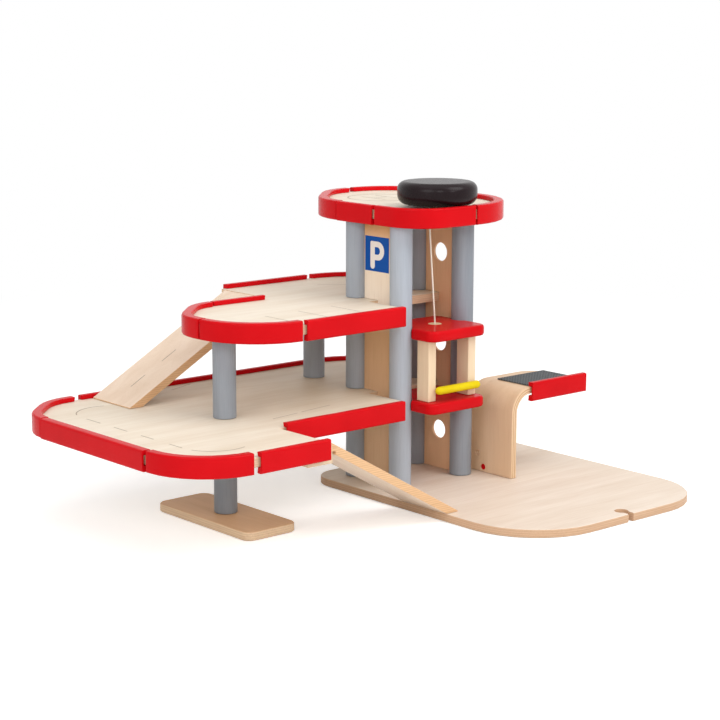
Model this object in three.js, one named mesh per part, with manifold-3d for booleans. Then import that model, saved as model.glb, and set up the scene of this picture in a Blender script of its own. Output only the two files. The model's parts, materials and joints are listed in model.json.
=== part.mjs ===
// A wooden toy parking garage: three levels, two ramps, a bent plywood canopy and a hand-wound lift.
// Millimetres, +Z up. The plan is laid out from the axis of the left lift post at floor level,
// and the finished group is moved so that its origin is at the bottom centre of the whole object.
import * as THREE from 'three';
import { mergeVertices } from 'three/addons/utils/BufferGeometryUtils.js';
import Module from 'manifold-3d';

const wasm = await Module();
wasm.setup();

// Boards, dowels and clearances
const baseThickness = 9.6;
const deckThickness = 10;
const panelThickness = 3;
const postDiameter = 25;
const lowerPostLength = 93;
const upperPostLength = 94;
const fitGap = 0.3;
const slideGap = 1;
const cutOverrun = 3;
const boardRounding = 1.2;

// Plan of the posts
const shaftSpan = 94;
const towerDepth = 73.9;
const legX = -211;
const legY = 43;
const backLegX = 1.5;
const backLegY = 152.4;

// Base and foot
const baseLeft = -38;
const baseMargin = 28.5;
const baseFront = -243;
const baseBackMargin = 37.6;
const baseBackRadius = 29;
const baseFrontLeftRadius = 87;
const baseFrontRightRadius = 77;
const connectorX = 112.5;
const connectorSetback = 14;
const connectorRadius = 7.5;
const connectorNeck = 8;
const footWidth = 67;
const footLength = 163.3;
const footRadius = 11;

// Deck outlines, given at the outer faces of their rails
const deckLeft = -373.5;
const deckRightMargin = 43;
const deckFront = -122.5;
const deckBack = 223.5;
const shaftSideFront = -38;
const cornerRadius = 84.5;
const deckLeftCut = 52.4;
const deckLeftRadius = 59.2;
const deckFrontRadius = 74;
const lobeLeft = -245.5;
const lobeRampGap = 10.7;
const lobeStraight = 17;
const lobeJointReach = 2.5;
const lobeCutShare = 0.727;
const lobeCutRoundShare = 0.71;
const stepX = -199.5;
const rampTopX = -81;
const doorwayFront = 39;
const doorwayRadius = 12;
const postCornerRun = 19;
const roofLeft = -21;
const roofRightMargin = 69;
const roofFront = -50.5;
const roofBack = 197;
const roofSideJoint = 86.5;
const roofLeftRadius = 85.2;
const roofBackLeftRadius = 72;
const roofFrontRightRadius = 100;
const roofNearRadius = 45;
const roofFarRadius = 62;

// Rail section and the gaps between rail pieces
const railThickness = 8;
const arcRailThickness = 11;
const railRise = 5.2;
const railHeight = 21.9;
const railGrooveDepth = 5.5;
const railStandout = 2;
const railOuterRounding = 2.2;
const railInnerRounding = 1.5;
const railGap = 3;
const wideRailGap = 5;
const backRailGap = 8.5;
const backArcGap = 10;
const frontRailGap = 7.5;
const frontRailEndGap = 5;
const stepRailGap = 7;
const railPostGap = 28;
const innerRailSetback = 11.6;
const backRailSetback = 4.2;
const backArcOverrun = 8.5;
const leftArcOverrun = 3;
const lobeArcOverrun = 2.1;
const roofArcOverrun = 1.9;
const roofFrontOverrun = 2;
const roofSideRailEnd = 21.7;

// Ramps and the battens that they hook on
const rampThickness = 9;
const rampWidth = 72.3;
const lowerRampRest = 15.5;
const lowerRampSetback = 2.3;
const upperRampRun = 183.5;
const upperRampTopDrop = 0.5;
const upperRampSetback = 9.5;
const rampTipHeight = 1;
const battenReach = 6;
const battenWidth = 32;
const battenHeight = 13;
const battenInset = 4;

// Panels beside the shaft
const panelHoleDiameter = 21.5;

// Lift cabin
const cabinInset = 4.2;
const cabinFront = -47;
const cabinBack = 37;
const cabinDrop = 2.6;
const cabinPlateThickness = 12.5;
const cabinClearHeight = 68.5;
const cabinCornerRadius = 12;
const cabinEdgeRounding = 3;
const cabinPostWidth = 11.4;
const cabinPostDepth = 19;
const cabinPostFrontInset = 13;
const cabinPostSideInset = 6.8;
const cabinPostRounding = 1;
const barDiameter = 9;
const barHeight = 12.8;
const barLeftInset = 6.5;
const barRightOverhang = 6.5;
const barPlay = 1;
const barEndShares = [[0.5, 0.13], [0.87, 0.5], [1, 1]];
const pivotDiameter = 4;
const pivotGrip = 13;
const pivotCover = 1.5;
const plugDiameter = 15;

// Winding knob, drum, shaft and cord
const knobOffset = 3.3;
const knobY = -3.4;
const knobDiameter = 89;
const knobHeight = 25.7;
const knobClearance = 3.9;
const knobRounding = 10.5;
const knobTopRounding = 9;
const knobRecessDiameter = 40;
const knobRecessDepth = 13;
const drumFlangeDiameter = 23;
const drumFlangeThickness = 1.5;
const shaftDiameter = 10;
const shaftGrip = 8;
const keeperHeadDiameter = 20;
const keeperHeadHeight = 3;
const keeperRimHeight = 1.5;
const keeperRimWidth = 5;
const keeperShankDiameter = 4;
const keeperShankLength = 14;
const cordDiameter = 2;
const windRadius = 10;
const windTurns = 3;
const dropReach = 10;
const dropHeading = THREE.MathUtils.degToRad(234);
const cordBend = 3;
const cordStraight = 4;
const cordHoleDiameter = 4;
const knotDiameter = 8;
const knotRoundShare = 0.8;
const cordLeanShares = [0.12, 0.3, 0.5, 0.7, 0.88];

// Canopy
const canopyPostGap = 13;
const canopyThickness = 8;
const canopyTop = 113.5;
const canopyOuterRadius = 29;
const canopyReach = 107;
const canopyFront = -57;
const canopyBack = 15;
const canopyEndRadius = 25;
const padThickness = 1.5;
const padSetback = 29;
const padBack = -4;
const padEdge = 1.5;
const stripSetback = 28.5;
const stripOverhang = 11.5;
const wallHoleDiameter = 7.5;
const wallHoleY = -2;
const wallHoleHeight = 21;
const wallPlugDiameter = 6.8;
const wallPlugY = -11.2;
const wallPlugHeight = 6;
const wallPlugInset = 0.6;

// Countersunk screw holes under the base and the foot
const screwShankDiameter = 4.6;
const screwHeadDiameter = 9;
const screwHeadDepth = 2.6;
const screwLength = 27;
const canopyScrewEndInset = 14;

// Fineness of round shapes
const boardArcSteps = 8;
const railArcSteps = 8;
const smallArcSteps = 2;
const cornerArcSteps = 6;
const roundSides = 24;
const pinSides = 12;
const knobSides = 40;
const cordSides = 8;
const cordSteps = 36;
const nearlySame = 0.001;
const weldDistance = 0.0001;

// Heights worked out from the sizes above
const deck1Top = baseThickness + lowerPostLength + deckThickness;
const deck2Top = deck1Top + upperPostLength + deckThickness;
const deck3Top = deck2Top + upperPostLength + deckThickness;
const deck1Bottom = deck1Top - deckThickness;
const deck2Bottom = deck2Top - deckThickness;
const deck3Bottom = deck3Top - deckThickness;
const postRadius = postDiameter / 2;
const railSeat = railThickness - railGrooveDepth + fitGap;

// Places worked out from the posts
const canopyWallX = shaftSpan + postRadius + canopyPostGap;
const canopyEnd = canopyWallX + canopyReach;
const baseRight = canopyEnd + baseMargin;
const baseBack = towerDepth + baseBackMargin;
const deckRight = shaftSpan + deckRightMargin;
const roofRight = shaftSpan + roofRightMargin;
const knobX = shaftSpan / 2 + knobOffset;
const cabinWidth = shaftSpan - 2 * cabinInset;
const lowerRampRun = baseLeft + lowerRampRest - stepX;
const upperRampBack = deckBack - upperRampSetback;
const upperRampFront = upperRampBack - rampWidth;
const lobeBack = upperRampFront - lobeRampGap;
const lobeRadius = (lobeBack - shaftSideFront - lobeStraight) / 2;

// Colours
const birch = { color: 0xe9d8bd, roughness: 0.6, metalness: 0 };
const redPaint = { color: 0xcf1620, roughness: 0.3, metalness: 0 };
const greyPaint = { color: 0x9298a2, roughness: 0.45, metalness: 0 };
const blackGloss = { color: 0x140e10, roughness: 0.2, metalness: 0 };
const yellowPaint = { color: 0xdcc414, roughness: 0.4, metalness: 0 };
const greyPad = { color: 0x454a4b, roughness: 0.9, metalness: 0 };
const cottonCord = { color: 0xeee8dc, roughness: 0.9, metalness: 0 };
const steel = { color: 0xb4b4b2, roughness: 0.35, metalness: 1 };

// Closed solids from three.js geometry, and back
function solidOf(geometry) {
  const bare = geometry.clone();
  bare.deleteAttribute('normal');
  bare.deleteAttribute('uv');
  const merged = mergeVertices(bare, weldDistance);
  const places = merged.attributes.position;
  const corners = Uint32Array.from(merged.index.array);
  let volume = 0;
  const a = new THREE.Vector3();
  const b = new THREE.Vector3();
  const c = new THREE.Vector3();
  for (let i = 0; i < corners.length; i += 3) {
    a.fromBufferAttribute(places, corners[i]);
    b.fromBufferAttribute(places, corners[i + 1]);
    c.fromBufferAttribute(places, corners[i + 2]);
    volume += a.dot(b.cross(c));
  }
  if (volume < 0) {
    for (let i = 0; i < corners.length; i += 3) {
      [corners[i + 1], corners[i + 2]] = [corners[i + 2], corners[i + 1]];
    }
  }
  const mesh = new wasm.Mesh({ numProp: 3, vertProperties: places.array, triVerts: corners });
  return new wasm.Manifold(mesh);
}

function geometryOf(solid) {
  const mesh = solid.getMesh();
  const geometry = new THREE.BufferGeometry();
  geometry.setAttribute('position', new THREE.BufferAttribute(mesh.vertProperties, 3));
  geometry.setIndex(new THREE.BufferAttribute(mesh.triVerts, 1));
  geometry.computeVertexNormals();
  return geometry;
}

const garage = new THREE.Group();

function addPiece(name, solid, look) {
  const piece = new THREE.Mesh(geometryOf(solid), new THREE.MeshStandardMaterial(look));
  piece.name = name;
  garage.add(piece);
}

function withoutAll(solid, cuts) {
  return cuts.reduce((rest, cut) => rest.subtract(cut), solid);
}

// A run of straight stretches through corners [x, y, radius], with a heading at each point
function runThrough(corners, closed, stepsPerQuarter) {
  const points = [];
  const count = corners.length;
  const push = (x, y, heading) => {
    const last = points[points.length - 1];
    if (!last || Math.hypot(last.x - x, last.y - y) > nearlySame) points.push({ x, y, heading });
  };
  corners.forEach(([x, y, radius = 0], i) => {
    const before = corners[(i + count - 1) % count];
    const after = corners[(i + 1) % count];
    const headingIn = Math.atan2(y - before[1], x - before[0]);
    const headingOut = Math.atan2(after[1] - y, after[0] - x);
    if (!closed && i === 0) {
      push(x, y, headingOut);
      return;
    }
    if (!closed && i === count - 1) {
      push(x, y, headingIn);
      return;
    }
    const turn = Math.atan2(Math.sin(headingOut - headingIn), Math.cos(headingOut - headingIn));
    if (radius === 0) {
      push(x, y, headingIn + turn / 2);
      return;
    }
    const side = Math.sign(turn);
    const reach = radius * Math.tan(Math.abs(turn) / 2);
    const centreX = x - Math.cos(headingIn) * reach - side * radius * Math.sin(headingIn);
    const centreY = y - Math.sin(headingIn) * reach + side * radius * Math.cos(headingIn);
    const steps = Math.max(1, Math.round((Math.abs(turn) / (Math.PI / 2)) * stepsPerQuarter));
    for (let step = 0; step <= steps; step += 1) {
      const heading = headingIn + (turn * step) / steps;
      const reachX = side * radius * Math.sin(heading);
      const reachY = side * radius * Math.cos(heading);
      push(centreX + reachX, centreY - reachY, heading);
    }
  });
  return points;
}

function outlineOf(corners, stepsPerQuarter = boardArcSteps) {
  return runThrough(corners, true, stepsPerQuarter).map(({ x, y }) => new THREE.Vector2(x, y));
}

// A flat board with a rounded or square edge
function slab(outline, low, high, rounding = 0, edgeSteps = 1) {
  const geometry = new THREE.ExtrudeGeometry(new THREE.Shape(outline), {
    depth: high - low - 2 * rounding,
    bevelEnabled: rounding > 0,
    bevelThickness: rounding,
    bevelSize: rounding,
    bevelOffset: -rounding,
    bevelSegments: edgeSteps,
  });
  geometry.translate(0, 0, low + rounding);
  return solidOf(geometry);
}

function block(x0, x1, y0, y1, low, high) {
  const geometry = new THREE.BoxGeometry(x1 - x0, y1 - y0, high - low);
  geometry.translate((x0 + x1) / 2, (y0 + y1) / 2, (low + high) / 2);
  return solidOf(geometry);
}

// A board whose side view [x, z] is carried across from one Y to another
function sideBoard(sideView, y0, y1) {
  const outline = sideView.map(([x, z]) => new THREE.Vector2(x, z));
  const settings = { depth: y1 - y0, bevelEnabled: false };
  const geometry = new THREE.ExtrudeGeometry(new THREE.Shape(outline), settings);
  geometry.rotateX(Math.PI / 2);
  geometry.translate(0, y1, 0);
  return solidOf(geometry);
}

// A turned piece from a profile of [radius, height], standing at x, y
function turned(profile, x, y, sides = roundSides) {
  const points = profile.map(([radius, height]) => new THREE.Vector2(radius, height));
  const geometry = new THREE.LatheGeometry(points, sides);
  geometry.rotateX(Math.PI / 2);
  geometry.translate(x, y, 0);
  return solidOf(geometry);
}

function rod(radius, x, y, low, high, sides = roundSides) {
  return turned([[0, low], [radius, low], [radius, high], [0, high]], x, y, sides);
}

function tube(outerRadius, innerRadius, x, y, low, high, sides = roundSides) {
  const wall = rod(outerRadius, x, y, low, high, sides);
  return wall.subtract(rod(innerRadius, x, y, low - cutOverrun, high + cutOverrun, sides));
}

// A rod lying along X or Y
function rodAlongX(radius, x0, x1, y, z, sides = roundSides) {
  const geometry = new THREE.CylinderGeometry(radius, radius, x1 - x0, sides);
  geometry.rotateZ(Math.PI / 2);
  geometry.translate((x0 + x1) / 2, y, z);
  return solidOf(geometry);
}

function rodAlongY(radius, x, y0, y1, z, sides = pinSides) {
  const geometry = new THREE.CylinderGeometry(radius, radius, y1 - y0, sides);
  geometry.translate(x, (y0 + y1) / 2, z);
  return solidOf(geometry);
}

// Red rails: a grooved strip swept along the outer face of a deck edge, the deck on its left
function railSection(thickness) {
  const low = railRise - railHeight;
  const grooveLow = -deckThickness - fitGap;
  const grooveInset = railThickness - railGrooveDepth;
  return runThrough([
    [0, low, railOuterRounding], [thickness, low, railInnerRounding],
    [thickness, grooveLow], [grooveInset, grooveLow],
    [grooveInset, fitGap], [thickness, fitGap],
    [thickness, railRise, railInnerRounding], [0, railRise, railOuterRounding],
  ], true, smallArcSteps);
}

function rail(corners, deckTop, thickness = railThickness) {
  const path = runThrough(corners, false, railArcSteps);
  const section = railSection(thickness);
  const count = section.length;
  const places = [];
  path.forEach(({ x, y, heading }) => {
    section.forEach((point) => {
      places.push(x - Math.sin(heading) * point.x, y + Math.cos(heading) * point.x, deckTop + point.y);
    });
  });
  const faces = [];
  for (let i = 0; i < path.length - 1; i += 1) {
    for (let j = 0; j < count; j += 1) {
      const next = (j + 1) % count;
      const here = i * count;
      const ahead = here + count;
      faces.push(here + j, here + next, ahead + next, here + j, ahead + next, ahead + j);
    }
  }
  const flat = section.map((point) => new THREE.Vector2(point.x, point.y));
  const lastRing = (path.length - 1) * count;
  THREE.ShapeUtils.triangulateShape(flat, []).forEach(([a, b, c]) => {
    faces.push(a, c, b, lastRing + a, lastRing + b, lastRing + c);
  });
  const geometry = new THREE.BufferGeometry();
  geometry.setAttribute('position', new THREE.Float32BufferAttribute(places, 3));
  geometry.setIndex(faces);
  return solidOf(geometry);
}

// Posts, screwed on from below
const liftPostLeft = [0, 0];
const liftPostRight = [shaftSpan, 0];
const rearPostLeft = [0, towerDepth];
const rearPostRight = [shaftSpan, towerDepth];
const leg = [legX, legY];
const backLeg = [backLegX, backLegY];

const posts = [
  ['lift_post_left', liftPostLeft, baseThickness, deck3Bottom],
  ['lift_post_right', liftPostRight, baseThickness, deck3Bottom],
  ['rear_left_post_lower', rearPostLeft, baseThickness, deck1Bottom],
  ['rear_left_post_middle', rearPostLeft, deck1Top, deck2Bottom],
  ['rear_left_post_upper', rearPostLeft, deck2Top, deck3Bottom],
  ['rear_right_post_lower', rearPostRight, baseThickness, deck1Bottom],
  ['rear_right_post_middle', rearPostRight, deck1Top, deck2Bottom],
  ['rear_right_post_upper', rearPostRight, deck2Top, deck3Bottom],
  ['leg_lower', leg, baseThickness, deck1Bottom],
  ['leg_upper', leg, deck1Top, deck2Bottom],
  ['back_leg', backLeg, deck1Top, deck2Bottom],
];

const canopyScrewX = canopyWallX + canopyThickness / 2;
const screwPlaces = [
  liftPostLeft, liftPostRight, rearPostLeft, rearPostRight, leg,
  [canopyScrewX, canopyFront + canopyScrewEndInset], [canopyScrewX, canopyBack - canopyScrewEndInset],
];
const screwBores = screwPlaces.map(([x, y]) => turned([
  [0, -cutOverrun], [screwHeadDiameter / 2, -cutOverrun], [screwHeadDiameter / 2, 0],
  [screwShankDiameter / 2, screwHeadDepth], [screwShankDiameter / 2, screwLength], [0, screwLength],
], x, y, pinSides));

posts.forEach(([name, [x, y], floor, ceiling]) => {
  const post = rod(postRadius, x, y, floor + fitGap, ceiling - fitGap);
  addPiece(name, withoutAll(post, screwBores), greyPaint);
});

// Base plate with its track connector, and the foot under the outer leg
const baseOutline = outlineOf([
  [baseLeft, baseFront, baseFrontLeftRadius], [baseRight, baseFront, baseFrontRightRadius],
  [baseRight, baseBack, baseBackRadius], [baseLeft, baseBack, baseBackRadius],
]);
const connectorY = baseFront + connectorSetback;
const connectorCuts = [
  rod(connectorRadius, connectorX, connectorY, -cutOverrun, baseThickness + cutOverrun),
  block(connectorX - connectorNeck / 2, connectorX + connectorNeck / 2,
    baseFront - cutOverrun, connectorY, -cutOverrun, baseThickness + cutOverrun),
];
const basePlate = slab(baseOutline, 0, baseThickness, boardRounding);
addPiece('base_plate', withoutAll(basePlate, [...connectorCuts, ...screwBores]), birch);

const footOutline = outlineOf([
  [legX - footWidth / 2, legY - footLength / 2, footRadius],
  [legX + footWidth / 2, legY - footLength / 2, footRadius],
  [legX + footWidth / 2, legY + footLength / 2, footRadius],
  [legX - footWidth / 2, legY + footLength / 2, footRadius],
]);
addPiece('foot_plate', withoutAll(slab(footOutline, 0, baseThickness, boardRounding), screwBores), birch);

// Decks: boards that sit in the rail grooves, cut back beside the left lift post
const boardLeft = deckLeft + railSeat;
const boardRight = deckRight - railSeat;
const boardBack = deckBack - railSeat;
const boardFront = deckFront + railSeat;
const boardShaftSide = shaftSideFront + railSeat;
const boardCorner = cornerRadius - railSeat;
const postEdge = -postRadius - fitGap;
const halfCornerReach = Math.tan(Math.PI / 8);
const cutSeat = railSeat * halfCornerReach;

const towerSideCorners = [
  [-railPostGap, boardShaftSide], [postEdge, boardShaftSide + postCornerRun], [postEdge, doorwayFront],
  [boardRight, doorwayFront, doorwayRadius], [boardRight, boardBack, boardCorner],
];
const deck1Outline = outlineOf([
  [boardLeft, boardFront, deckFrontRadius - railSeat], [stepX, boardFront], [stepX, boardShaftSide],
  ...towerSideCorners,
  [deckLeft + deckLeftCut + cutSeat, boardBack, deckLeftRadius - railSeat],
  [boardLeft, deckBack - deckLeftCut - cutSeat, deckLeftRadius - railSeat],
]);
const lobeX = lobeLeft + lobeRadius;
const lobeJoint = shaftSideFront + lobeRadius + lobeJointReach;
const lobeCut = lobeRadius * lobeCutShare;
const lobeCutRadius = lobeRadius * lobeCutRoundShare;
const innerRailEnd = rampTopX - innerRailSetback;
const deck2Outline = outlineOf([
  [lobeLeft + railSeat, boardShaftSide, lobeRadius - railSeat], ...towerSideCorners,
  [rampTopX, boardBack], [rampTopX, upperRampFront - fitGap],
  [innerRailEnd + fitGap, upperRampFront - fitGap], [innerRailEnd + fitGap, lobeBack - railSeat],
  [lobeLeft + lobeCut + cutSeat, lobeBack - railSeat, lobeCutRadius - railSeat],
  [lobeLeft + railSeat, lobeBack - lobeCut - cutSeat, lobeCutRadius - railSeat],
]);
addPiece('deck_1', slab(deck1Outline, deck1Bottom, deck1Top), birch);
addPiece('deck_2', slab(deck2Outline, deck2Bottom, deck2Top), birch);

// Rails of the decks, each run with its deck on the left
const deckLeftReach = deckLeftCut + deckLeftRadius * halfCornerReach;
const arcBackX = deckLeft + deckLeftReach + backArcOverrun;
const arcLeftY = deckBack - deckLeftReach;
const arcRightX = deckRight - cornerRadius;
const arcFrontX = deckLeft + deckFrontRadius;
const arcFrontY = deckFront + deckFrontRadius + leftArcOverrun;
const leftRailX = deckLeft - railStandout;
const frontRailY = deckFront - railStandout;
const shaftRailY = shaftSideFront - railStandout;
const roofLeftRailX = roofLeft - railStandout;
const roofCutY = roofSideJoint + roofLeftRadius * halfCornerReach;
const roofCutX = roofLeft + roofBack - roofCutY;
const roofBackJoint = roofCutX + roofBackLeftRadius * halfCornerReach + roofArcOverrun;
const lobeArcEnd = lobeX + lobeArcOverrun;
const roofFrontJoint = roofRight - roofFrontRightRadius + roofFrontOverrun;
const roofRightJoint = roofFront + roofFrontRightRadius;
const rails = [
  ['deck_1_rail_left_arc', deck1Top, [[arcBackX, deckBack],
    [deckLeft + deckLeftCut, deckBack, deckLeftRadius],
    [deckLeft, deckBack - deckLeftCut, deckLeftRadius], [deckLeft, arcLeftY]], arcRailThickness],
  ['deck_1_rail_left', deck1Top, [[leftRailX, arcLeftY - railGap],
    [leftRailX, arcFrontY + railGap]], arcRailThickness],
  ['deck_1_rail_front_arc', deck1Top, [[deckLeft, arcFrontY], [deckLeft, deckFront, deckFrontRadius],
    [arcFrontX, deckFront]], arcRailThickness],
  ['deck_1_rail_front', deck1Top, [[arcFrontX + frontRailGap, frontRailY],
    [stepX - frontRailEndGap, frontRailY]]],
  ['deck_1_rail_shaft_side', deck1Top, [[stepX + stepRailGap, shaftRailY], [-railPostGap, shaftRailY]]],
  ['deck_1_rail_back_arc', deck1Top, [[deckRight, doorwayFront + doorwayRadius],
    [deckRight, deckBack, cornerRadius], [arcRightX, deckBack]]],
  ['deck_1_rail_back', deck1Top, [[arcRightX - backRailGap, deckBack], [arcBackX + backArcGap, deckBack]]],
  ['deck_2_rail_left_arc', deck2Top, [[lobeArcEnd, lobeBack], [lobeLeft + lobeCut, lobeBack, lobeCutRadius],
    [lobeLeft, lobeBack - lobeCut, lobeCutRadius], [lobeLeft, lobeJoint + railGap / 2]], arcRailThickness],
  ['deck_2_rail_front_arc', deck2Top, [[lobeLeft, lobeJoint - railGap / 2],
    [lobeLeft, shaftSideFront, lobeRadius], [lobeX, shaftSideFront]], arcRailThickness],
  ['deck_2_rail_front', deck2Top, [[lobeX + wideRailGap, shaftRailY], [-railPostGap, shaftRailY]]],
  ['deck_2_rail_inner', deck2Top, [[innerRailEnd, lobeBack],
    [lobeArcEnd + railGap, lobeBack]]],
  ['deck_2_rail_back_arc', deck2Top, [[deckRight, doorwayFront + doorwayRadius],
    [deckRight, deckBack, cornerRadius], [arcRightX, deckBack]]],
  ['deck_2_rail_back', deck2Top, [[arcRightX - backRailGap, deckBack],
    [rampTopX + backRailSetback, deckBack]]],
  ['roof_rail_front', deck3Top, [[roofLeft, roofSideRailEnd], [roofLeft, roofFront, roofNearRadius],
    [roofFrontJoint, roofFront]]],
  ['roof_rail_right_arc', deck3Top, [[roofFrontJoint + railGap, roofFront],
    [roofRight, roofFront, roofFrontRightRadius - roofFrontOverrun - railGap],
    [roofRight, roofRightJoint]], arcRailThickness],
  ['roof_rail_back', deck3Top, [[roofRight, roofRightJoint + railGap],
    [roofRight, roofBack, roofFarRadius], [roofBackJoint + backRailGap, roofBack]]],
  ['roof_rail_left_arc', deck3Top, [[roofBackJoint, roofBack], [roofCutX, roofBack, roofBackLeftRadius],
    [roofLeft, roofCutY, roofLeftRadius], [roofLeft, roofSideJoint]], arcRailThickness],
  ['roof_rail_left', deck3Top, [[roofLeftRailX, roofSideJoint - railGap],
    [roofLeftRailX, roofSideRailEnd + railGap]]],
];
rails.forEach(([name, deckTop, corners, width]) => addPiece(name, rail(corners, deckTop, width), redPaint));

// Roof board, bored for the shaft and the cord eyelet
const drumX = knobX + windRadius * Math.sin(dropHeading);
const drumY = knobY - windRadius * Math.cos(dropHeading);
const dropX = drumX + dropReach * Math.cos(dropHeading);
const dropY = drumY + dropReach * Math.sin(dropHeading);
const roofOutline = outlineOf([
  [roofLeft + railSeat, roofFront + railSeat, roofNearRadius - railSeat],
  [roofRight - railSeat, roofFront + railSeat, roofFrontRightRadius - railSeat],
  [roofRight - railSeat, roofBack - railSeat, roofFarRadius - railSeat],
  [roofCutX + cutSeat, roofBack - railSeat, roofBackLeftRadius - railSeat],
  [roofLeft + railSeat, roofCutY - cutSeat, roofLeftRadius - railSeat],
]);
addPiece('roof_deck', withoutAll(slab(roofOutline, deck3Bottom, deck3Top), [
  rod(shaftDiameter / 2 + fitGap, knobX, knobY, deck3Bottom - cutOverrun, deck3Top + cutOverrun),
  rod(cordHoleDiameter / 2, dropX, dropY, deck3Bottom - cutOverrun, deck3Top + cutOverrun, pinSides),
]), birch);

// Panels beside the shaft, slotted over the decks
const panelFront = postRadius + fitGap;
const panelBack = towerDepth - postRadius - fitGap;
const panelMiddle = towerDepth / 2;
const slotFront = doorwayFront - fitGap;
function panel(x0) {
  const x1 = x0 + panelThickness;
  const board = block(x0, x1, panelFront, panelBack, baseThickness + fitGap, deck3Bottom - fitGap);
  const slots = [deck1Top, deck2Top].map((top) => (
    block(x0 - cutOverrun, x1 + cutOverrun, slotFront, panelBack + cutOverrun,
      top - deckThickness - fitGap, top + fitGap)
  ));
  return withoutAll(board, slots);
}
const storeyMiddles = [
  (baseThickness + deck1Bottom) / 2, (deck1Top + deck2Bottom) / 2, (deck2Top + deck3Bottom) / 2,
];
const panelHoles = storeyMiddles.map((middle) => (
  rodAlongX(panelHoleDiameter / 2, shaftSpan - cutOverrun, shaftSpan + panelThickness + cutOverrun,
    panelMiddle, middle)
));
addPiece('panel_left', panel(0), birch);
addPiece('panel_right', withoutAll(panel(shaftSpan), panelHoles), birch);

// Ramps: a sloping board with a square hook at its top and a flat foot, drawn as descending along +X
function rampSide(run, deckTop, floor, topDrop) {
  const foot = floor + fitGap;
  const high = deckTop - topDrop;
  const slope = Math.atan2(high - foot - rampTipHeight, run);
  const drop = rampThickness / Math.cos(slope);
  const underside = (x) => high - drop - x * Math.tan(slope);
  const hook = battenReach + fitGap;
  const footStart = (high - drop - foot) / Math.tan(slope);
  return [
    [fitGap, high - fitGap * Math.tan(slope)], [fitGap, deckTop - deckThickness],
    [hook, deckTop - deckThickness], [hook, underside(hook)],
    [footStart, foot], [run, foot], [run, foot + rampTipHeight],
  ];
}
const lowerRampFront = boardFront + lowerRampSetback;
const lowerRampSide = rampSide(lowerRampRun, deck1Top, baseThickness, 0).map(([x, z]) => [stepX + x, z]);
addPiece('lower_ramp', sideBoard(lowerRampSide, lowerRampFront, lowerRampFront + rampWidth), birch);
const upperRampSide = rampSide(upperRampRun, deck2Top, deck1Top, upperRampTopDrop).map(([x, z]) => (
  [rampTopX - x, z]
));
addPiece('upper_ramp', sideBoard(upperRampSide, upperRampFront, upperRampBack), birch);

function batten(edgeX, towardRamp, front, deckBottom) {
  const far = edgeX + towardRamp * battenReach;
  const near = far - towardRamp * battenWidth;
  const high = deckBottom - fitGap;
  return block(Math.min(near, far), Math.max(near, far),
    front + battenInset, front + rampWidth - battenInset, high - battenHeight, high);
}
addPiece('lower_ramp_batten', batten(stepX, 1, lowerRampFront, deck1Bottom), birch);
addPiece('upper_ramp_batten', batten(rampTopX, -1, upperRampFront, deck2Bottom), birch);

// Lift cabin, its floor just under the top of the first deck
const cabinX = shaftSpan / 2;
const cabinY = (cabinFront + cabinBack) / 2;
const cabinLeft = cabinX - cabinWidth / 2;
const cabinRight = cabinX + cabinWidth / 2;
const cabinFloorTop = deck1Top - cabinDrop;
const cabinTopLow = cabinFloorTop + cabinClearHeight;
const cabinTopHigh = cabinTopLow + cabinPlateThickness;
const cabinOutline = outlineOf([
  [cabinLeft, cabinFront, cabinCornerRadius], [cabinRight, cabinFront, cabinCornerRadius],
  [cabinRight, cabinBack, cabinCornerRadius], [cabinLeft, cabinBack, cabinCornerRadius],
], cornerArcSteps);
const guideNotches = [liftPostLeft, liftPostRight].map(([x, y]) => (
  rod(postRadius + slideGap, x, y, 0, deck3Top)
));
const cabinPostFront = cabinFront + cabinPostFrontInset;
const cabinPostBack = cabinPostFront + cabinPostDepth;
const leftPostX = cabinLeft + cabinPostSideInset;
const rightPostX = cabinRight - cabinPostSideInset - cabinPostWidth;
const cabinFloorLow = cabinFloorTop - cabinPlateThickness;
const cabinFloor = slab(cabinOutline, cabinFloorLow, cabinFloorTop, cabinEdgeRounding, smallArcSteps);
const cabinTop = slab(cabinOutline, cabinTopLow, cabinTopHigh, cabinEdgeRounding, smallArcSteps);
const plugBore = rod(
  plugDiameter / 2 + fitGap, cabinX, cabinY, cabinTopLow - cutOverrun, cabinTopHigh + cutOverrun,
);
addPiece('cabin_floor', withoutAll(cabinFloor, guideNotches), redPaint);
addPiece('cabin_top', withoutAll(cabinTop, [...guideNotches, plugBore]), redPaint);
addPiece('cabin_cord_plug', tube(
  plugDiameter / 2, cordHoleDiameter / 2, cabinX, cabinY, cabinTopLow, cabinTopHigh,
), birch);

const barRadius = barDiameter / 2;
const barY = cabinPostFront - barPlay - barRadius;
const barZ = cabinFloorTop + barHeight;
const pivotX = rightPostX + cabinPostWidth / 2;
const pivotBack = cabinPostFront + pivotGrip;
const pivotFront = barY - barRadius + pivotCover;
const pivotBore = rodAlongY(pivotDiameter / 2 + fitGap, pivotX, pivotFront, pivotBack, barZ);
[['cabin_post_left', leftPostX], ['cabin_post_right', rightPostX]].forEach(([name, x]) => {
  const outline = outlineOf([
    [x, cabinPostFront, cabinPostRounding], [x + cabinPostWidth, cabinPostFront, cabinPostRounding],
    [x + cabinPostWidth, cabinPostBack, cabinPostRounding], [x, cabinPostBack, cabinPostRounding],
  ], smallArcSteps);
  const post = slab(outline, cabinFloorTop + fitGap, cabinTopLow - fitGap);
  addPiece(name, post.subtract(pivotBore), birch);
});

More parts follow.
